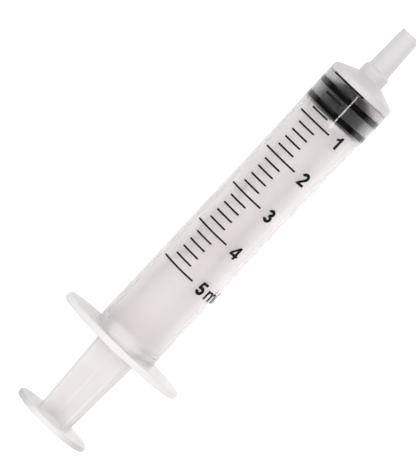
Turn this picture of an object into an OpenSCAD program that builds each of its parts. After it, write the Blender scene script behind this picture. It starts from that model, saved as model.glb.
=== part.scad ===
// Oral dosing syringe: moulded barrel, ribbed plunger rod and rubber stopper, with a printed scale.
// It lies along X, with the nozzle towards +X, the finger flange's wings along Y and the print upwards.
// The origin is the centre of the nozzle's end face.
// Stations are distances along X from the scale's zero line, positive towards the nozzle.

/* [Barrel] */
// Inside diameter of the barrel, which sets the spacing of the scale
bore_d = 11.95; // [11.8:0.05:12.1]
// Wall thickness of the barrel
wall = 0.825; // [0.75:0.025:0.9]
// Distance from the zero line to the nozzle's end face
zero_to_tip = 14; // [13.5:0.1:15]
// Distance from the zero line back to the front face of the finger flange
flange_station = 62.1; // [58:0.1:66]
// Diameter of the collar between the shoulder and the nozzle
collar_d = 5.38; // [5:0.02:5.6]
// Diameter of the hole through the nozzle
nozzle_bore_d = 1.8; // [1.4:0.1:2.2]

/* [Finger flange] */
// Width of the flange from wing tip to wing tip
flange_w = 27.4; // [24:0.1:30]
// Depth of the flange across the barrel
flange_d = 14.7; // [14.6:0.1:15.4]
// Thickness of the flange
flange_t = 1.5; // [1.2:0.05:1.8]

/* [Plunger] */
// How far the plunger is drawn back from the zero line
drawn = 1.55; // [0.5:0.05:10]
// Distance from the first ring's front edge back to the thumb rest's front face
plunger_l = 79.6; // [78:0.1:90]
// Distance between the crests of opposite ribs of the rod
rib_span = 10.6; // [9.6:0.1:10.8]
// Thickness of each rib
rib_t = 1.1; // [0.9:0.05:1.3]
// Width of the thumb rest
thumb_w = 16.3; // [15:0.1:18]
// Depth of the thumb rest
thumb_d = 11.9; // [11:0.1:13]
// Thickness of the thumb rest
thumb_t = 1.15; // [1:0.05:1.4]

/* [Scale] */
// Volume at the last line of the scale, in millilitres
capacity = 5; // [3:1:5]
// Short lines in each millilitre, counting the place of the long line
divisions = 5; // [5, 10]
// Width of every line
line_w = 0.35; // [0.2:0.05:0.4]
// Height of the numerals
numeral_h = 2.65; // [2:0.05:3]

/* [Hidden] */
$fn = 96;

// How far a cutting shape runs past the material, and a solid into its neighbour
past = 1;
overlap = 0.5;

// Barrel
bore_r = bore_d / 2;
barrel_r = bore_r + wall;
ml_pitch = 1000 / (PI * bore_r * bore_r);
collar_r = collar_d / 2;
collar_back = 3.2;
collar_front = 5.04;
nozzle_base = 5.46;
tip_r = 1.985;
luer_slope = 0.03;
nozzle_base_r = tip_r + luer_slope * (zero_to_tip - nozzle_base);
corner_r = 0.95;
corner_back = 0.88;
corner_end = 1.45;
cone_slope = (collar_back - corner_end) / (barrel_r - collar_r);
inner_cone_start = 0.45;
flange_rear = -flange_station - flange_t;
bead_station = flange_rear + 3;
bead_rise = 0.17;
bead_top = 0.3;
bead_foot = 0.6;
mouth_r = bore_r + 0.4;
mouth_depth = 0.9;
flange_end_r = 4.6;
thumb_end_r = 4.4;
web = 0.5;

// Stopper, measured back from the front edge of its first ring
ring_front = -drawn;
ring_r = bore_r - 0.02;
first_ring_l = 1.4;
second_ring = 3.5;
second_ring_l = 1.3;
stopper_l = 5.1;
groove_r = 5.3;
nose_l = 1.6;
nose_base_r = 4.7;
nose_tip_r = 2.1;
ring_bevel = 0.18;
lip_l = 1.2;
neck_hole_r = 2.15;
socket_r = 3.2;
socket_front = 1.2;

// Plunger rod
clearance = 0.05;
neck_r = neck_hole_r - clearance;
head_r = socket_r - clearance;
disc_r = 5.55;
disc_t = 1.2;
disc_gap = 0.06;
head_bevel = 1;
thumb_front = ring_front - plunger_l;
taper_l = 18;
rib_end_span = 8.5;

// Scale, in degrees round the barrel from the top, positive towards +Y
ink_t = 0.03;
long_from = -18;
long_to = 48;
short_from = -1;
short_to = 32.5;
numeral_start = -29;
stroke = 0.23;

// Shapes that the pieces share

// Places a shape drawn up the Z axis along the syringe, with its base at a station
module at_station(s) {
    translate([s - zero_to_tip, 0, 0]) rotate([0, 90, 0]) children();
}

// Turns an outline of [radius, station] points about the syringe's axis
module turned(outline) {
    at_station(0) rotate_extrude() polygon(outline);
}

// An oval of four arcs that meet smoothly: half-width a along Y, half-depth b, end radius r
module oval(a, b, r) {
    c = a - r;
    k = (c * c - (b - r) * (b - r)) / (2 * (b - r));
    side_r = b + k;
    joint = c + r * c / (side_r - r);
    for (side = [-1, 1]) translate([0, side * c]) circle(r);
    intersection() {
        translate([-k, 0]) circle(side_r, $fn = 360);
        translate([k, 0]) circle(side_r, $fn = 360);
        square([2 * b, 2 * joint], center = true);
    }
}

// Points along part of an ellipse about centre c
function arc(c, rx, ry, from, to, steps = 10) =
    [for (i = [0 : steps]) let (a = from + (to - from) * i / steps) c + [rx * cos(a), ry * sin(a)]];

// Unit normal of a path at point i
function normal(path, i) =
    let (d = path[min(i + 1, len(path) - 1)] - path[max(i - 1, 0)]) [-d[1], d[0]] / norm(d);

// A pen stroke of even width along a path
module pen(path, w) {
    last = len(path) - 1;
    polygon(concat(
        [for (i = [0 : last]) path[i] + normal(path, i) * w / 2],
        [for (i = [last : -1 : 0]) path[i] - normal(path, i) * w / 2]
    ));
}

// Barrel

module barrel_outside() {
    cone_start = barrel_r - corner_r;
    cone_angle = atan(1 / cone_slope);
    turned(concat(
        [[0, flange_rear], [barrel_r, flange_rear], [barrel_r, corner_back]],
        [for (a = [15 : 15 : cone_angle]) [cone_start + corner_r * cos(a), corner_back + corner_r * sin(a)]],
        [[collar_r, collar_back], [collar_r, collar_front], [nozzle_base_r, nozzle_base]],
        [[tip_r, zero_to_tip], [0, zero_to_tip]]
    ));
}

module barrel_inside() {
    cone_end = inner_cone_start + (bore_r - nozzle_bore_d / 2) * cone_slope;
    turned([
        [0, flange_rear - past], [mouth_r, flange_rear - past], [mouth_r, flange_rear],
        [bore_r, flange_rear + mouth_depth],
        [bore_r, bead_station - bead_foot], [bore_r - bead_rise, bead_station - bead_top],
        [bore_r - bead_rise, bead_station + bead_top], [bore_r, bead_station + bead_foot],
        [bore_r, inner_cone_start], [nozzle_bore_d / 2, cone_end],
        [nozzle_bore_d / 2, zero_to_tip + past], [0, zero_to_tip + past]
    ]);
}

module barrel() {
    color([0.86, 0.85, 0.85, 0.6]) difference() {
        union() {
            barrel_outside();
            at_station(flange_rear) linear_extrude(flange_t) oval(flange_w / 2, flange_d / 2, flange_end_r);
            at_station(-flange_station) cylinder(h = web, r1 = barrel_r + web, r2 = barrel_r);
        }
        barrel_inside();
    }
}

// Stopper

module ring(front, length) {
    turned([
        [0, front], [ring_r - ring_bevel, front], [ring_r, front - ring_bevel],
        [ring_r, front - length + ring_bevel], [ring_r - ring_bevel, front - length], [0, front - length]
    ]);
}

module stopper() {
    rear = ring_front - stopper_l;
    color([0.13, 0.13, 0.14]) difference() {
        union() {
            ring(ring_front, first_ring_l);
            ring(ring_front - second_ring, second_ring_l);
            at_station(rear) cylinder(h = stopper_l, r = groove_r);
            at_station(ring_front) cylinder(h = nose_l, r1 = nose_base_r, r2 = nose_tip_r);
        }
        at_station(rear - past) cylinder(h = lip_l + past, r = neck_hole_r);
        at_station(rear + lip_l) cylinder(h = stopper_l - lip_l - socket_front, r = socket_r);
    }
}

// Plunger rod

module rod_rib() {
    half = rib_span / 2;
    half_end = rib_end_span / 2;
    taper_start = thumb_front + taper_l;
    front = ring_front - stopper_l - disc_gap - disc_t / 2;
    rotate([90, 0, 0]) translate([-zero_to_tip, 0, -rib_t / 2]) linear_extrude(rib_t) polygon([
        [front, -half], [front, half], [taper_start, half], [thumb_front - thumb_t / 2, half_end],
        [thumb_front - thumb_t / 2, -half_end], [taper_start, -half]
    ]);
}

module plunger_rod() {
    disc_front = ring_front - stopper_l - disc_gap;
    head_rear = ring_front - stopper_l + lip_l + clearance;
    head_front = ring_front - socket_front - clearance;
    neck_rear = disc_front - disc_t / 2;
    color([0.93, 0.92, 0.91]) {
        at_station(disc_front - disc_t) cylinder(h = disc_t, r = disc_r);
        at_station(neck_rear) cylinder(h = head_rear + overlap - neck_rear, r = neck_r);
        turned([
            [0, head_rear], [head_r, head_rear], [head_r, head_front - head_bevel],
            [head_r - head_bevel, head_front], [0, head_front]
        ]);
        for (turn = [45, 135]) rotate([turn, 0, 0]) rod_rib();
        at_station(thumb_front - thumb_t) linear_extrude(thumb_t) oval(thumb_w / 2, thumb_d / 2, thumb_end_r);
    }
}

// Printed scale

// A line that runs round the barrel at a station, as a film on its surface
module scale_line(station, from, to) {
    rotate([-to, 0, 0]) at_station(station - line_w / 2) rotate([0, 0, 180])
        rotate_extrude(angle = to - from) translate([barrel_r, 0]) square([ink_t, line_w]);
}

module major_graduations() {
    color([0.06, 0.06, 0.07])
        for (ml = [0 : capacity]) scale_line(-ml * ml_pitch, long_from, long_to);
}

module minor_graduations() {
    color([0.06, 0.06, 0.07])
        for (ml = [0 : capacity - 1], part = [1 : divisions - 1])
            scale_line(-(ml + part / divisions) * ml_pitch, short_from, short_to);
}

// Letterforms one unit high, standing on the X axis with their left edge near zero

module numeral_1() {
    polygon([[0.55, 0], [0.55, 1], [0.4, 1], [0.11, 0.76], [0.11, 0.58], [0.34, 0.69], [0.34, 0]]);
}

module numeral_2() {
    top = arc([0.37, 0.7], 0.215, 0.2, 172, -35);
    pen(concat(top, [[0.36, 0.36], [0.16, 0.12]]), stroke);
    translate([0.04, 0]) square([0.65, 0.19]);
}

module numeral_3() {
    pen(arc([0.35, 0.735], 0.18, 0.165, 168, -90), stroke);
    pen(arc([0.36, 0.305], 0.215, 0.2, 90, -168), stroke);
    translate([0.26, 0.45]) square([0.12, 0.18]);
}

module numeral_4() {
    difference() {
        polygon([[0.03, 0.2], [0.03, 0.37], [0.47, 1], [0.64, 1], [0.64, 0], [0.44, 0], [0.44, 0.2]]);
        polygon([[0.215, 0.375], [0.44, 0.375], [0.44, 0.7]]);
    }
    translate([0.6, 0.2]) square([0.15, 0.175]);
}

module numeral_5() {
    pen(arc([0.37, 0.325], 0.215, 0.222, 140, -168), stroke);
    polygon([[0.17, 1], [0.66, 1], [0.66, 0.82], [0.32, 0.82], [0.27, 0.49], [0.085, 0.46]]);
}

module letter_m() {
    gap = 0.495;
    translate([0.06, 0]) square([0.19, 0.74]);
    for (leg = [0, 1]) {
        arch = arc([0.155 + gap * (leg + 0.5), 0.4], gap / 2, 0.25, 180, 0);
        pen(concat(arch, [[0.155 + gap * (leg + 1), 0]]), 0.19);
    }
}

module letter_l() {
    translate([0.07, 0]) square([0.19, 1]);
}

// Prints a letterform whose cell starts a distance along the line of text and has the given width
module printed(ml, start, width) {
    middle = (start + width / 2) * numeral_h;
    turn = numeral_start - middle / barrel_r * 180 / PI;
    intersection() {
        rotate([-turn, 0, 0]) translate([-zero_to_tip - ml * ml_pitch, 0, bore_r - past])
            rotate([0, 0, -90]) linear_extrude(wall + 2 * past) scale(numeral_h)
                translate([-width / 2, -0.5]) children();
        at_station(-(ml + 1) * ml_pitch) difference() {
            cylinder(h = 2 * ml_pitch, r = barrel_r + ink_t);
            translate([0, 0, -past]) cylinder(h = 2 * (ml_pitch + past), r = barrel_r);
        }
    }
}

module scale_numerals() {
    cell = 0.78;
    color([0.06, 0.06, 0.07]) {
        printed(1, 0, cell) numeral_1();
        printed(2, 0, cell) numeral_2();
        printed(3, 0, cell) numeral_3();
        if (capacity > 3) printed(4, 0, cell) numeral_4();
        if (capacity > 4) printed(5, 0, cell) numeral_5();
        printed(capacity, 0.92, 1.2) letter_m();
        printed(capacity, 2.22, 0.33) letter_l();
    }
}

barrel();
plunger_rod();
stopper();
major_graduations();
minor_graduations();
scale_numerals();
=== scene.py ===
import math
import bmesh
import bpy
from mathutils import Matrix, Vector


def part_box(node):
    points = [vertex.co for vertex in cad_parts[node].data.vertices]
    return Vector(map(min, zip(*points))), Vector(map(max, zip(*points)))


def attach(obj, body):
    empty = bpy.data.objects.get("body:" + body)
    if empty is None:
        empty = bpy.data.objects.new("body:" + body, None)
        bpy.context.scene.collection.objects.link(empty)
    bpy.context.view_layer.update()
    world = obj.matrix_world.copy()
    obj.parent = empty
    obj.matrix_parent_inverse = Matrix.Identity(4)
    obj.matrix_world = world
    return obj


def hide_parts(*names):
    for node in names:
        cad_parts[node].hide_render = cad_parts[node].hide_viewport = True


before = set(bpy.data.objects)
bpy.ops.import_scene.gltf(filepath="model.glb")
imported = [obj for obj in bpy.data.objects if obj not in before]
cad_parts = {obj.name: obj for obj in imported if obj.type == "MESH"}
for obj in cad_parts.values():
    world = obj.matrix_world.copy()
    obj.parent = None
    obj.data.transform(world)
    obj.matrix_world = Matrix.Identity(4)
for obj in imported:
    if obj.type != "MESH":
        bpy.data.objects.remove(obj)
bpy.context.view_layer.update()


# ---------------------------------------------------------------- camera
# A long lens looks almost straight down on the printed side of the barrel, as from a copy stand.
# It is turned so that the nozzle points up and to the right.

MM = 0.001
camera_place = Vector((-4.43, -47.32, 450.26)) * MM
camera_aim = Vector((-51.46, 2.14, 0)) * MM
camera_up = Vector((0.727, 0.6866, 0))
lens_mm = 191.7

sight = (camera_aim - camera_place).normalized()
across = sight.cross(camera_up).normalized()
camera = bpy.data.objects.new("camera", bpy.data.cameras.new("camera"))
camera.data.lens = lens_mm
camera.data.clip_start = 0.01
camera.matrix_world = Matrix.Translation(camera_place) @ Matrix(
    (across, across.cross(sight), -sight)).transposed().to_4x4()
bpy.context.scene.collection.objects.link(camera)
bpy.context.scene.camera = camera


# ---------------------------------------------------------------- barrel
# The barrel is one injection moulding in translucent polypropylene: finger flange, tube,
# sloping shoulder, collar and slip nozzle. Its outside is polished, its bore has a fine mist.
# Stations are millimetres along the axis from the zero line, and grow towards the nozzle's tip.

barrel_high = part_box("barrel")[1]
nozzle_end = 14
zero_line = barrel_high.x / MM - nozzle_end
barrel_r = 6.8
bore_r = 5.975
bore_front = 0.45
mouth_r = 6.375
flange_front = -62.1
flange_rear = -63.6
flange_half_w = barrel_high.y / MM
flange_half_d = barrel_high.z / MM
flange_end_r = 4.6
shoulder_rear = 1.52
shoulder_front = 3.2
collar_r = 2.69
collar_front = 5.04
nozzle_root = 5.46
nozzle_root_r = 2.241
nozzle_end_r = 1.985
nozzle_bore_r = 0.9
nozzle_bore_rear = 2.61
bead_front = -60.0
bead_h = 0.16
clear_end_outside = 0.16
clear_end_inside = clear_end_outside - 0.3
turns_round = 192


def crowded(turn, crowding):
    """An even turn round the axis, drawn towards the ends of an oval so that they stay smooth."""
    return turn + crowding * math.sin(2 * turn)


def oval_radius(turn, half_w, half_d, end_r):
    """Distance from the axis to the edge of a four-arc oval, at a turn from +Z towards +Y."""
    reach_y = abs(math.sin(turn))
    reach_z = abs(math.cos(turn))
    end_centre = half_w - end_r
    rise = half_d - end_r
    drop = (end_centre ** 2 - rise ** 2) / (2 * rise)
    side_r = half_d + drop
    joint = end_centre + end_r * end_centre / (side_r - end_r)
    side = math.sqrt(side_r ** 2 - (drop * reach_y) ** 2) - drop * reach_z
    if side * reach_y <= joint:
        return side
    return end_centre * reach_y + math.sqrt(max(end_r ** 2 - (end_centre * reach_z) ** 2, 0))


def rounded(outline, closed=True, steps=5):
    """Points (radius, station) along an outline of (radius, station, rounding)."""
    points = []
    last = len(outline) - 1
    for number, (radius, station, rounding) in enumerate(outline):
        here = Vector((radius, station))
        if rounding == 0 or (not closed and number in (0, last)):
            points.append((here.x, here.y))
            continue
        before = (Vector(outline[number - 1][:2]) - here).normalized()
        after = (Vector(outline[(number + 1) % len(outline)][:2]) - here).normalized()
        half = before.angle(after) / 2
        centre = here + (before + after).normalized() * rounding / math.sin(half)
        start = here + before * rounding / math.tan(half) - centre
        swing = math.pi - 2 * half
        if before.x * after.y - before.y * after.x > 0:
            swing = -swing
        for step in range(steps + 1):
            angle = swing * step / steps
            arm = Vector((start.x * math.cos(angle) - start.y * math.sin(angle),
                          start.x * math.sin(angle) + start.y * math.cos(angle)))
            points.append((centre.x + arm.x, centre.y + arm.y))
    return points


def spun(points, turn):
    """An outline's points swung round the syringe's axis to a turn, in metres."""
    return [Vector((zero_line + station, radius * math.sin(turn), radius * math.cos(turn))) * MM
            for radius, station in points]


def skin(name, lines, loop_around=True, loop_along=True):
    """One mesh with a quad between every two neighbouring points of neighbouring lines."""
    long = len(lines[0])
    verts = [point for line in lines for point in line]
    faces = []
    for i in range(len(lines) if loop_around else len(lines) - 1):
        here = i * long
        beside = (i + 1) % len(lines) * long
        for j in range(long if loop_along else long - 1):
            onward = (j + 1) % long
            faces.append((here + j, here + onward, beside + onward, beside + j))
    mesh = bpy.data.meshes.new(name)
    mesh.from_pydata(verts, [], faces)
    piece = bpy.data.objects.new(name, mesh)
    bpy.context.scene.collection.objects.link(piece)
    cleaned = bmesh.new()
    cleaned.from_mesh(mesh)
    bmesh.ops.remove_doubles(cleaned, verts=cleaned.verts, dist=1e-7)
    bmesh.ops.dissolve_degenerate(cleaned, edges=cleaned.edges, dist=1e-7)
    bmesh.ops.recalc_face_normals(cleaned, faces=cleaned.faces)
    cleaned.to_mesh(mesh)
    cleaned.free()
    mesh.shade_smooth()
    mesh.set_sharp_from_angle(angle=math.radians(32))
    weighted = piece.modifiers.new("moulded_faces", "WEIGHTED_NORMAL")
    weighted.keep_sharp = True
    return piece


def barrel_outline(rim):
    """The wall's outline where the flange stands out to a rim: over the outside, back through the bore."""
    rim_round = min(0.42, (rim - barrel_r) * 0.38)
    root_round = min(0.5, (rim - barrel_r) * 0.55)
    outer_side = [
        (mouth_r, flange_rear, 0.12),
        (rim, flange_rear, rim_round),
        (rim, flange_front, rim_round),
        (barrel_r, flange_front, root_round),
        (barrel_r, clear_end_outside, 0),
        (barrel_r, shoulder_rear, 0.95),
        (collar_r, shoulder_front, 0.35),
        (collar_r, collar_front, 0.14),
        (nozzle_root_r, nozzle_root, 0.2),
        (nozzle_end_r, nozzle_end, 0.14),
    ]
    inner_side = [
        (nozzle_bore_r, nozzle_end, 0.1),
        (nozzle_bore_r, nozzle_bore_rear, 0.4),
        (bore_r, bore_front, 0.5),
        (bore_r, clear_end_inside, 0),
        (bore_r, bead_front, 0.6),
        (bore_r - bead_h, bead_front - 0.45, 0.3),
        (bore_r - bead_h, bead_front - 0.75, 0.3),
        (bore_r, bead_front - 1.2, 0.6),
        (bore_r, flange_rear + 0.9, 0.3),
    ]
    return outer_side + inner_side


barrel_lines = []
for i in range(turns_round):
    turn = crowded(2 * math.pi * i / turns_round, 0.2)
    rim = oval_radius(turn, flange_half_w, flange_half_d, flange_end_r)
    barrel_lines.append(spun(rounded(barrel_outline(rim)), turn))
barrel = skin("moulded_barrel", barrel_lines)


def ramp(tree, source, start, end, low, high, smooth=True):
    """A number that goes from low to high while its source goes from start to end."""
    span = tree.nodes.new("ShaderNodeMapRange")
    if smooth:
        span.interpolation_type = "SMOOTHSTEP"
    for socket, value in (("From Min", start), ("From Max", end), ("To Min", low), ("To Max", high)):
        span.inputs[socket].default_value = value
    tree.links.new(source, span.inputs["Value"])
    return span.outputs["Result"]


def one_axis(tree, source, axis):
    """The X, Y or Z of a place or a direction."""
    parts = tree.nodes.new("ShaderNodeSeparateXYZ")
    tree.links.new(source, parts.inputs["Vector"])
    return parts.outputs[axis]


def own_place(tree):
    """The place on the piece, in metres."""
    return tree.nodes.new("ShaderNodeTexCoord").outputs["Object"]


def speckle(tree, scale, detail, low, high):
    """A soft noise over the piece, from one value to another."""
    noise = tree.nodes.new("ShaderNodeTexNoise")
    noise.inputs["Scale"].default_value = scale
    noise.inputs["Detail"].default_value = detail
    tree.links.new(own_place(tree), noise.inputs["Vector"])
    return ramp(tree, noise.outputs["Fac"], 0.3, 0.7, low, high, smooth=False)


def shader_of(finish):
    return finish.node_tree.nodes["Principled BSDF"]


def finish_of(name, light, dark, patch, roughness, relief):
    """A finish with patchy colour, uneven gloss and a relief of (strength, scale, depth in millimetres)."""
    finish = bpy.data.materials.new(name)
    finish.use_nodes = True
    tree = finish.node_tree
    shader = shader_of(finish)
    blend = tree.nodes.new("ShaderNodeMix")
    blend.data_type = "RGBA"
    blend.inputs["A"].default_value = (*dark, 1)
    blend.inputs["B"].default_value = (*light, 1)
    tree.links.new(speckle(tree, patch, 2, 0, 1), blend.inputs["Factor"])
    tree.links.new(blend.outputs["Result"], shader.inputs["Base Color"])
    tree.links.new(speckle(tree, patch * 3, 3, *roughness), shader.inputs["Roughness"])
    strength, scale, depth = relief
    bump = tree.nodes.new("ShaderNodeBump")
    bump.inputs["Strength"].default_value = strength
    bump.inputs["Distance"].default_value = depth * MM
    tree.links.new(speckle(tree, scale, 2, 0, 1), bump.inputs["Height"])
    tree.links.new(bump.outputs["Normal"], shader.inputs["Normal"])
    return finish


def polypropylene(name, light, dark, patch, roughness, relief, clearness):
    """A finish in polypropylene, with a clearness from 0 for milky to 1 for clear."""
    finish = finish_of(name, light, dark, patch, roughness, relief)
    shader_of(finish).inputs["IOR"].default_value = 1.49
    shader_of(finish).inputs["Transmission Weight"].default_value = clearness
    return finish


def shaded(finish, share):
    """Scales a finish's colour by a number that changes over the piece."""
    tree = finish.node_tree
    colour = shader_of(finish).inputs["Base Color"]
    tone = tree.nodes.new("ShaderNodeVectorMath")
    tone.operation = "SCALE"
    tree.links.new(colour.links[0].from_socket, tone.inputs[0])
    tree.links.new(share, tone.inputs["Scale"])
    tree.links.new(tone.outputs["Vector"], colour)


def cloud_by_flange(finish):
    """Makes the wall cloudier and greyer over the last millimetres before the flange."""
    grey_reach = 2.7
    grey_share = 0.7
    cloud_reach = 3.4
    cloud_clearness = 0.45
    tree = finish.node_tree
    along = one_axis(tree, own_place(tree), "X")
    start = (zero_line + flange_front) * MM
    grey_end = (zero_line + flange_front + grey_reach) * MM
    cloud_end = (zero_line + flange_front + cloud_reach) * MM
    clearness = shader_of(finish).inputs["Transmission Weight"]
    shaded(finish, ramp(tree, along, start, grey_end, grey_share, 1))
    tree.links.new(ramp(tree, along, start, cloud_end, cloud_clearness, clearness.default_value), clearness)


clear_light = (0.998, 0.99, 0.984)
clear_dark = (0.985, 0.955, 0.962)
outside = polypropylene("polypropylene_polished", clear_light, clear_dark, 90,
                        roughness=(0.05, 0.07), relief=(0.01, 2500, 0.01), clearness=0.998)
bore = polypropylene("polypropylene_misted", clear_light, clear_dark, 90,
                     roughness=(0.56, 0.64), relief=(0.02, 2500, 0.01), clearness=0.985)
thick = polypropylene("polypropylene_thick", (0.7, 0.68, 0.675), (0.67, 0.64, 0.648), 90,
                      roughness=(0.4, 0.5), relief=(0.15, 2500, 0.01), clearness=0.15)
cloudy = polypropylene("polypropylene_cloudy", (0.59, 0.575, 0.573), (0.565, 0.543, 0.55), 90,
                       roughness=(0.4, 0.5), relief=(0.15, 2500, 0.01), clearness=0.15)
cloud_by_flange(outside)
cloud_by_flange(bore)

barrel_finishes = [outside, bore, thick, cloudy]
for finish in barrel_finishes:
    barrel.data.materials.append(finish)
for face in barrel.data.polygons:
    reach = Vector((face.center.y, face.center.z)).length / MM
    station = face.center.x / MM - zero_line
    clear_end = clear_end_outside if reach > bore_r + 0.3 else clear_end_inside
    if station > clear_end:
        finish = cloudy
    elif station < flange_front + 0.05:
        finish = thick
    elif reach < bore_r + 0.01:
        finish = bore
    else:
        finish = outside
    face.material_index = barrel_finishes.index(finish)

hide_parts("barrel")
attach(barrel, "barrel")


# ---------------------------------------------------------------- printed lines
# Black ink is rolled onto the barrel in one pass: a long line at every millilitre and four
# short ones between. The film is about three hundredths of a millimetre thick.

ink_t = 0.028
ink_sunk = 0.004
line_w = 0.35
line_corner = 0.1
ml_pitch = 1000 / (math.pi * bore_r ** 2)
long_line = (-18, 48)
short_line = (-1, 32.5)


def arc_length(degrees):
    """Length along the barrel's outside, in millimetres, of a turn from its upper side."""
    return math.radians(degrees) * barrel_r


def line_outline(turns, ml, steps=4):
    """Outline of a line with rounded corners at a number of millilitres, as (arc length, station)."""
    low, high = (arc_length(degrees) for degrees in turns)
    middle = -ml * ml_pitch
    upper = middle + line_w / 2 - line_corner
    lower = middle - line_w / 2 + line_corner
    points = []
    for centre_u, centre_v, first in ((high - line_corner, upper, 0), (low + line_corner, upper, 90),
                                      (low + line_corner, lower, 180), (high - line_corner, lower, 270)):
        for step in range(steps + 1):
            angle = math.radians(first + 90 * step / steps)
            points.append((centre_u + line_corner * math.cos(angle),
                           centre_v + line_corner * math.sin(angle)))
    return points


def printed(name, shapes):
    """Ink laid on the barrel. Each shape is a list of outlines in (arc length, station), holes included."""
    film = bmesh.new()
    for outlines in shapes:
        edges = []
        for outline in outlines:
            verts = [film.verts.new((u, v, 0)) for u, v in outline]
            edges += [film.edges.new((verts[i - 1], verts[i])) for i in range(len(verts))]
        bmesh.ops.triangle_fill(film, edges=edges, use_beauty=True)
    cut = math.radians(1.5) * barrel_r
    low = min(v.co.x for v in film.verts)
    high = max(v.co.x for v in film.verts)
    for i in range(1, int((high - low) / cut) + 1):
        geometry = film.verts[:] + film.edges[:] + film.faces[:]
        bmesh.ops.bisect_plane(film, geom=geometry, dist=1e-6,
                               plane_co=(low + i * cut, 0, 0), plane_no=(1, 0, 0))
    bmesh.ops.recalc_face_normals(film, faces=film.faces)
    for face in film.faces:
        if face.normal.z < 0:
            face.normal_flip()
    base = film.faces[:]
    raised = bmesh.ops.extrude_face_region(film, geom=base)
    top = {item for item in raised["geom"] if isinstance(item, bmesh.types.BMVert)}
    for vert in film.verts:
        turn = vert.co.x / barrel_r
        radius = barrel_r + (ink_t if vert in top else -ink_sunk)
        vert.co = Vector((zero_line + vert.co.y, radius * math.sin(turn), radius * math.cos(turn))) * MM
    bmesh.ops.recalc_face_normals(film, faces=film.faces)
    mesh = bpy.data.meshes.new(name)
    film.to_mesh(mesh)
    film.free()
    piece = bpy.data.objects.new(name, mesh)
    bpy.context.scene.collection.objects.link(piece)
    mesh.shade_smooth()
    mesh.set_sharp_from_angle(angle=math.radians(30))
    return piece


ink = finish_of("printing_ink", (0.004, 0.004, 0.005), (0.009, 0.009, 0.01), 700,
                roughness=(0.38, 0.55), relief=(0.25, 5000, 0.008))
shader_of(ink).inputs["Specular IOR Level"].default_value = 0.12

long_lines = printed("long_lines", [[line_outline(long_line, ml)] for ml in range(6)])
long_lines.data.materials.append(ink)
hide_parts("major_graduations")
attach(long_lines, "barrel")

short_lines = printed("short_lines", [[line_outline(short_line, ml + part / 5)]
                                      for ml in range(5) for part in range(1, 5)])
short_lines.data.materials.append(ink)
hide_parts("minor_graduations")
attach(short_lines, "barrel")


# ---------------------------------------------------------------- printed numerals
# Heavy upright numerals stand beside the long lines, read with the nozzle up, and the last one
# carries the unit. They are printed with the lines, in the same ink. Their outlines are drawn
# in numeral heights, from the lower left corner.

numeral_h = 2.65
numeral_start = -29
half_pen = 0.115
leg_pitch = 0.495
m_start = 0.92
l_start = 2.22


def bow(x, y, reach_x, reach_y, start, end, pen_side=0, steps=14):
    """Part of an ellipse, or the outer (1) or inner (-1) side of a pen stroke that follows it."""
    turns = [math.radians(start + (end - start) * step / steps) for step in range(steps + 1)]
    reach_x += pen_side * half_pen
    reach_y += pen_side * half_pen
    return [(x + reach_x * math.cos(turn), y + reach_y * math.sin(turn)) for turn in turns]


one = [
    [(0.55, 0), (0.55, 1), (0.4, 1), (0.33, 0.88), (0.23, 0.79), (0.11, 0.75), (0.11, 0.57),
     (0.24, 0.61), (0.34, 0.68), (0.34, 0)],
]
two = [
    bow(0.37, 0.7, 0.215, 0.2, 176, -33, pen_side=1)
    + [(0.46, 0.34), (0.33, 0.19), (0.69, 0.19), (0.69, 0), (0.035, 0), (0.06, 0.13), (0.15, 0.27),
       (0.3, 0.43)]
    + bow(0.37, 0.7, 0.215, 0.2, -33, 176, pen_side=-1),
]
three = [
    bow(0.35, 0.735, 0.18, 0.165, 170, -48, pen_side=1)
    + bow(0.36, 0.305, 0.215, 0.2, 42, -170, pen_side=1)
    + bow(0.36, 0.305, 0.215, 0.2, -170, 90, pen_side=-1)
    + [(0.27, 0.42), (0.27, 0.6)]
    + bow(0.35, 0.735, 0.18, 0.165, -90, 170, pen_side=-1),
]
four = [
    [(0.44, 0), (0.64, 0), (0.64, 0.2), (0.75, 0.2), (0.75, 0.375), (0.64, 0.375), (0.64, 1),
     (0.47, 1), (0.03, 0.375), (0.03, 0.2), (0.44, 0.2)],
    [(0.215, 0.375), (0.44, 0.375), (0.44, 0.7)],
]
five = [
    [(0.17, 1), (0.66, 1), (0.66, 0.82), (0.32, 0.82), (0.295, 0.635)]
    + bow(0.37, 0.325, 0.215, 0.222, 105, -170, pen_side=1)
    + bow(0.37, 0.325, 0.215, 0.222, -170, 142, pen_side=-1)
    + [(0.09, 0.46)],
]
first_arch = 0.155 + leg_pitch / 2
second_arch = 0.155 + leg_pitch * 1.5
letter_m = [
    [(0.06, 0), (0.06, 0.74), (0.24, 0.74), (0.245, 0.655)]
    + bow(first_arch + 0.03, 0.45, leg_pitch / 2 + 0.065, 0.3, 132, 38, steps=8)
    + bow(second_arch, 0.45, leg_pitch / 2 + 0.095, 0.3, 128, 0, steps=10)
    + [(0.25 + leg_pitch * 2, 0), (0.06 + leg_pitch * 2, 0)]
    + bow(second_arch, 0.42, leg_pitch / 2 - 0.095, 0.17, 0, 180, steps=10)
    + [(0.25 + leg_pitch, 0), (0.06 + leg_pitch, 0)]
    + bow(first_arch, 0.42, leg_pitch / 2 - 0.095, 0.17, 0, 180, steps=10)
    + [(0.25, 0)],
]
letter_l = [
    [(0.07, 0), (0.26, 0), (0.26, 1), (0.07, 1)],
]


def set_in_place(glyph, ml, start=0):
    """A numeral's outlines moved beside the long line of its millilitre."""
    first = arc_length(numeral_start)
    return [[(first - (start + x) * numeral_h, (y - 0.5) * numeral_h - ml * ml_pitch) for x, y in outline]
            for outline in glyph]


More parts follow.
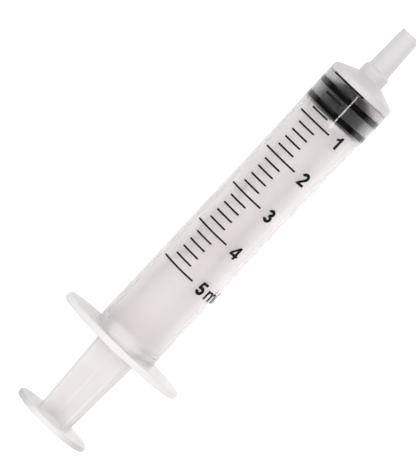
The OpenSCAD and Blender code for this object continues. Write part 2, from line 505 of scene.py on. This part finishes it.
glyphs = [set_in_place(glyph, ml + 1) for ml, glyph in enumerate((one, two, three, four, five))]
glyphs.append(set_in_place(letter_m, 5, m_start))
glyphs.append(set_in_place(letter_l, 5, l_start))
numerals = printed("numerals", glyphs)
numerals.data.materials.append(ink)
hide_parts("scale_numerals")
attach(numerals, "barrel")


# ---------------------------------------------------------------- stopper
# The stopper is moulded in black rubber. Two rings squeeze against the bore and seal it, and an
# undercut socket behind takes the rod's head.

ring_front = -1.55
ring_r = bore_r + 0.012
groove_r = 5.3
nose_front = ring_front + 1.6
groove_front = ring_front - 1.5
groove_rear = ring_front - 3.4
rear_ring_end = ring_front - 4.8
stopper_rear = ring_front - 5.1
socket_front = ring_front - 1.2
socket_rear = ring_front - 3.9
socket_r = 3.2
socket_mouth_r = 2.15
stopper_line = rounded([
    (0, nose_front, 0),
    (2.0, nose_front, 0.5),
    (4.75, ring_front, 0.25),
    (ring_r, ring_front, 0.22),
    (ring_r, groove_front + 0.1, 0.22),
    (groove_r, groove_front, 0.3),
    (groove_r, groove_rear, 0.3),
    (ring_r, groove_rear - 0.1, 0.22),
    (ring_r, rear_ring_end, 0.2),
    (groove_r, rear_ring_end - 0.07, 0.12),
    (groove_r, stopper_rear, 0.1),
    (socket_mouth_r, stopper_rear, 0.15),
    (socket_mouth_r, socket_rear, 0.12),
    (socket_r, socket_rear, 0.12),
    (socket_r, socket_front, 0.3),
    (0, socket_front, 0),
], closed=False)
stopper = skin("rubber_stopper", [spun(stopper_line, 2 * math.pi * i / turns_round)
                                  for i in range(turns_round)], loop_along=False)
rubber = finish_of("black_rubber", (0.003, 0.003, 0.0035), (0.0015, 0.0015, 0.002), 400,
                   roughness=(0.42, 0.6), relief=(0.3, 3000, 0.02))
shader_of(rubber).inputs["Specular IOR Level"].default_value = 0.01
stopper.data.materials.append(rubber)
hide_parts("stopper")
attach(stopper, "stopper")


# ---------------------------------------------------------------- plunger rod
# The rod is moulded in milky polypropylene: a head and neck that snap into the stopper, a front
# disc that pushes it, four ribs in a cross that narrow towards the oval thumb rest.

rod_low, rod_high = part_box("plunger_rod")
rest_half_w = rod_high.y / MM
rest_half_d = rod_high.z / MM
rest_rear = rod_low.x / MM - zero_line
rest_front = rest_rear + 1.15
rest_end_r = 4.4
rest_round = 0.3
head_front = ring_front - 1.25
head_rear = ring_front - 3.85
head_r = 3.15
neck_r = 2.1
disc_front = ring_front - 5.16
disc_rear = disc_front - 1.2
disc_r = 5.55
half_rib = 0.55
rib_reach = 5.3
rib_reach_end = 4.25
taper_from = rest_front + 18
crest_r = 0.18
root_r = 0.45
fillet = 0.4
gate_r = 0.9


def rib_cross(reach, grow=0):
    """Outline of the four ribs, from the crest of one round to the next, as (across, up) points."""
    half = half_rib + grow
    reach = reach + grow
    root = max(root_r - grow, 0.02)
    straight_from = reach - crest_r
    straight_to = half + root
    quarter = []
    for step in range(4):
        angle = math.radians(30 * step)
        quarter.append((reach - crest_r + crest_r * math.cos(angle),
                        half - crest_r + crest_r * math.sin(angle)))
    for step in range(1, 9):
        quarter.append((straight_from + (straight_to - straight_from) * step / 9, half))
    for step in range(6):
        angle = math.radians(270 - 90 * step / 5)
        quarter.append((half + root + root * math.cos(angle), half + root + root * math.sin(angle)))
    for step in range(8, 0, -1):
        quarter.append((half, straight_from + (straight_to - straight_from) * step / 9))
    for step in range(3, -1, -1):
        angle = math.radians(30 * step)
        quarter.append((half - crest_r + crest_r * math.sin(angle),
                        reach - crest_r + crest_r * math.cos(angle)))
    points = []
    for side in range(4):
        turn = math.radians(45 + 90 * side)
        points += [(x * math.cos(turn) - y * math.sin(turn), x * math.sin(turn) + y * math.cos(turn))
                   for x, y in quarter]
    return points


ring_points = len(rib_cross(rib_reach))
ring_turns = [math.radians(45) + 2 * math.pi * i / ring_points for i in range(ring_points)]


def round_ring(radius):
    """A circle with its points in step with the ribs' outline."""
    return [(radius * math.cos(turn), radius * math.sin(turn)) for turn in ring_turns]


def rest_ring(shrink):
    """The thumb rest's outline, drawn in by an amount, with its points in step with the ribs' outline."""
    points = []
    for even_turn in ring_turns:
        turn = crowded(even_turn, -0.16)
        radius = oval_radius(math.pi / 2 - turn, rest_half_w - shrink, rest_half_d - shrink,
                             rest_end_r - shrink)
        points.append((radius * math.cos(turn), radius * math.sin(turn)))
    return points


def fillet_grow(height):
    """How far the ribs swell at a height above the face they stand on."""
    return fillet - math.sqrt(max(fillet ** 2 - (fillet - min(height, fillet)) ** 2, 0))


rod_rings = []


def add_ring(station, points):
    """The rod's next ring of points, from its head towards its thumb rest."""
    rod_rings.append([Vector((zero_line + station, across_y, up_z)) * MM for across_y, up_z in points])


head_line = rounded([
    (0, head_front, 0),
    (2.15, head_front, 0.3),
    (head_r, head_front - 1, 0.3),
    (head_r, head_rear, 0.12),
    (neck_r, head_rear, 0.15),
    (neck_r, disc_front, 0.25),
    (disc_r, disc_front, 0.25),
    (disc_r, disc_rear, 0.3),
    (disc_r - 0.05, disc_rear, 0),
], closed=False, steps=4)
for radius, station in head_line[:-1]:
    add_ring(station, round_ring(radius))
for step in range(6):
    height = fillet * step / 5
    add_ring(disc_rear - height, rib_cross(rib_reach - 0.3, fillet_grow(height)))
add_ring(disc_rear - 0.9, rib_cross(rib_reach))
add_ring(taper_from, rib_cross(rib_reach))
for step in range(1, 7):
    share = step / 6
    add_ring(taper_from + (rest_front + fillet - taper_from) * share,
             rib_cross(rib_reach + (rib_reach_end - rib_reach) * share))
for step in range(4, -1, -1):
    height = fillet * step / 5
    add_ring(rest_front + height, rib_cross(rib_reach_end, fillet_grow(height)))
for step in range(6):
    angle = math.radians(90 - 90 * step / 5)
    add_ring(rest_front - rest_round + rest_round * math.sin(angle),
             rest_ring(rest_round * (1 - math.cos(angle))))
for step in range(6):
    angle = math.radians(90 * step / 5)
    add_ring(rest_rear + rest_round - rest_round * math.sin(angle),
             rest_ring(rest_round * (1 - math.cos(angle))))
for radius, depth in ((gate_r + 0.1, 0), (gate_r, 0.02), (gate_r - 0.12, 0.16), (0.35, 0.2), (0.3, 0.1),
                      (0, 0.08)):
    add_ring(rest_rear + depth, round_ring(radius))
rod = skin("moulded_rod", rod_rings, loop_around=False)


def paint_shade_by_barrel(finish, stops):
    """Paints shade on the rod by its place in the barrel: greyer out of it, full colour inside, with stops
    of (millimetres from the tip, share).
    """
    tree = finish.node_tree
    shares = tree.nodes.new("ShaderNodeValToRGB")
    for place, share in stops:
        stop = shares.color_ramp.elements.new(1 + place / 100)
        stop.color = (share, share, share, 1)
    shares.color_ramp.elements.remove(shares.color_ramp.elements[0])
    along = one_axis(tree, tree.nodes.new("ShaderNodeNewGeometry").outputs["Position"], "X")
    tree.links.new(ramp(tree, along, -100 * MM, 0, 0, 1, smooth=False), shares.inputs["Fac"])
    shaded(finish, shares.outputs["Color"])


def combined(tree, operation, first, second=0):
    """A sum, product or the like of two numbers, each a socket or a plain value."""
    node = tree.nodes.new("ShaderNodeMath")
    node.operation = operation
    for socket, value in zip(node.inputs, (first, second)):
        if isinstance(value, bpy.types.NodeSocket):
            tree.links.new(value, socket)
        else:
            socket.default_value = value
    return node.outputs["Value"]


def paint_shade_towards_ends(finish):
    """Paints shade on the thumb rest, greyer towards its two ends."""
    tree = finish.node_tree
    outwards = combined(tree, "ABSOLUTE", one_axis(tree, own_place(tree), "Y"))
    shaded(finish, ramp(tree, outwards, 2 * MM, 7.5 * MM, 1, 0.76))


milky_light = (0.995, 0.972, 0.965)
milky_dark = (0.98, 0.95, 0.948)
milky = polypropylene("polypropylene_milky_painted_shade", milky_light, milky_dark, 70,
                      roughness=(0.35, 0.5), relief=(0.2, 1800, 0.02), clearness=0.1)
# The rib crests take a copy of the milky finish with deeper painted shade out of the barrel, to tone down
# their lit edges.
crest = polypropylene("polypropylene_crest_painted_shade", milky_light, milky_dark, 70,
                      roughness=(0.4, 0.5), relief=(0.1, 1800, 0.02), clearness=0.1)
# The thumb rest takes a greyer copy of the milky finish and its rim a greyer one still, as painted shade.
plate = polypropylene("plate_painted_shade", (0.82, 0.8, 0.795), (0.79, 0.768, 0.768), 70,
                      roughness=(0.35, 0.5), relief=(0.2, 1800, 0.02), clearness=0.1)
plate_rim = polypropylene("plate_rim_painted_shade", (0.66, 0.645, 0.64), (0.63, 0.612, 0.612), 70,
                          roughness=(0.35, 0.5), relief=(0.2, 1800, 0.02), clearness=0.1)
# Painted shade: the rod is greyer where it stands out of the barrel than inside it.
paint_shade_by_barrel(milky, ((-98, 0.69), (-84.8, 0.69), (-75.2, 0.87), (-58, 1)))
paint_shade_by_barrel(crest, ((-98, 0.64), (-80, 0.66), (-72, 0.92), (-64, 1)))
paint_shade_towards_ends(plate)
paint_shade_towards_ends(plate_rim)
glow_depth = 2 * MM
shader_of(milky).inputs["Subsurface Weight"].default_value = 0.3
shader_of(milky).inputs["Subsurface Radius"].default_value = (glow_depth, glow_depth, glow_depth)
shader_of(milky).inputs["Subsurface Scale"].default_value = 1.0

rod_finishes = [milky, crest, plate, plate_rim]
for finish in rod_finishes:
    rod.data.materials.append(finish)
for face in rod.data.polygons:
    station = face.center.x / MM - zero_line
    radius = Vector((face.center.y, face.center.z)).length / MM
    share = min(max((taper_from - station) / (taper_from - rest_front - fillet), 0), 1)
    reach = rib_reach + (rib_reach_end - rib_reach) * share
    if rest_front < station < disc_rear - fillet and radius > reach - 0.12:
        finish = crest
    elif station < rest_front and radius > 4 and abs(face.normal.x) < 0.8:
        finish = plate_rim
    elif station < rest_front + 0.05:
        finish = plate
    else:
        finish = milky
    face.material_index = rod_finishes.index(finish)

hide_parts("plunger_rod")
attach(rod, "rod")


# ---------------------------------------------------------------- bench and lights
# The syringe lies on a white bench, on its flange and the edge of its shoulder. The bench glows
# under it and fades away from it. A bright ceiling with a narrow dark gap lights it from above,
# with one small lamp beside the camera.

shoulder_rest = 1.0
bench_half = 3.0
pool_centre = (0.026, 0.002, 0)
pool_r = 0.075
pool_end_r = 0.22
glow_far_off = 0.22
glow_right = 1.3
glow_left = 0.88
glow_blend = 0.012
lean = math.atan((flange_half_d - barrel_r) / (shoulder_rest - flange_rear))
bench_mesh = bpy.data.meshes.new("bench")
bench_corners = [(-bench_half, -bench_half, 0), (bench_half, -bench_half, 0),
                 (bench_half, bench_half, 0), (-bench_half, bench_half, 0)]
bench_mesh.from_pydata(bench_corners, [], [(0, 1, 2, 3)])
bench = bpy.data.objects.new("bench", bench_mesh)
bench.location = Vector((zero_line + flange_rear, 0, -flange_half_d)) * MM
bench.rotation_euler = (0, -lean, 0)
bpy.context.scene.collection.objects.link(bench)

white = bpy.data.materials.new("bench_white")
white.use_nodes = True
tree = white.node_tree
shader_of(white).inputs["Base Color"].default_value = (0.2, 0.2, 0.2, 1)
shader_of(white).inputs["Roughness"].default_value = 0.8
shader_of(white).inputs["Emission Color"].default_value = (1, 1, 1, 1)
away = tree.nodes.new("ShaderNodeVectorMath")
away.operation = "DISTANCE"
away.inputs[1].default_value = pool_centre
tree.links.new(own_place(tree), away.inputs[0])
pool = ramp(tree, away.outputs["Value"], pool_r, pool_end_r, 1, glow_far_off)
across_bench = ramp(tree, one_axis(tree, own_place(tree), "Y"), -glow_blend, glow_blend,
                    glow_right, glow_left)
tree.links.new(combined(tree, "MULTIPLY", pool, across_bench),
               shader_of(white).inputs["Emission Strength"])
bench.data.materials.append(white)

lamp_place = Vector((-0.033, -0.126, 0.484))
lamp_aim = Vector((-0.045, 0, 0))
lamp_light = bpy.data.lights.new("small_lamp", "AREA")
lamp_light.shape = "RECTANGLE"
lamp_light.size = 0.015
lamp_light.size_y = 0.022
lamp_light.energy = 0.025
lamp = bpy.data.objects.new("small_lamp", lamp_light)
lamp.location = lamp_place
lamp.rotation_euler = (lamp_aim - lamp_place).to_track_quat("-Z", "Y").to_euler()
bpy.context.scene.collection.objects.link(lamp)

gap_place = -0.04
gap_half_w = 0.06
gap_edge = 0.14
gap_dimmed = 0.985
wall_glow = 0.56
ceiling_glow = 2.1
room = bpy.data.worlds.new("room")
room.use_nodes = True
tree = room.node_tree
direction = tree.nodes.new("ShaderNodeTexCoord").outputs["Generated"]
sideways = one_axis(tree, direction, "X")
upwards = one_axis(tree, direction, "Z")
from_gap = combined(tree, "ABSOLUTE", combined(tree, "SUBTRACT", sideways, gap_place))
gap = combined(tree, "MULTIPLY", ramp(tree, from_gap, gap_half_w, gap_edge, 1, 0),
               ramp(tree, upwards, 0.1, 0.25, 0, 1))
ceiling = ramp(tree, upwards, 0.35, 0.6, wall_glow, ceiling_glow)
open_part = combined(tree, "SUBTRACT", 1, combined(tree, "MULTIPLY", gap, gap_dimmed))
backdrop = tree.nodes["Background"]
backdrop.inputs["Color"].default_value = (1, 1, 1, 1)
tree.links.new(combined(tree, "MULTIPLY", ceiling, open_part), backdrop.inputs["Strength"])
bpy.context.scene.world = room
bpy.context.scene.view_settings.view_transform = "Standard"

light_paths = bpy.context.scene.cycles
light_paths.max_bounces = 24
light_paths.transmission_bounces = 24
light_paths.glossy_bounces = 12
light_paths.diffuse_bounces = 8
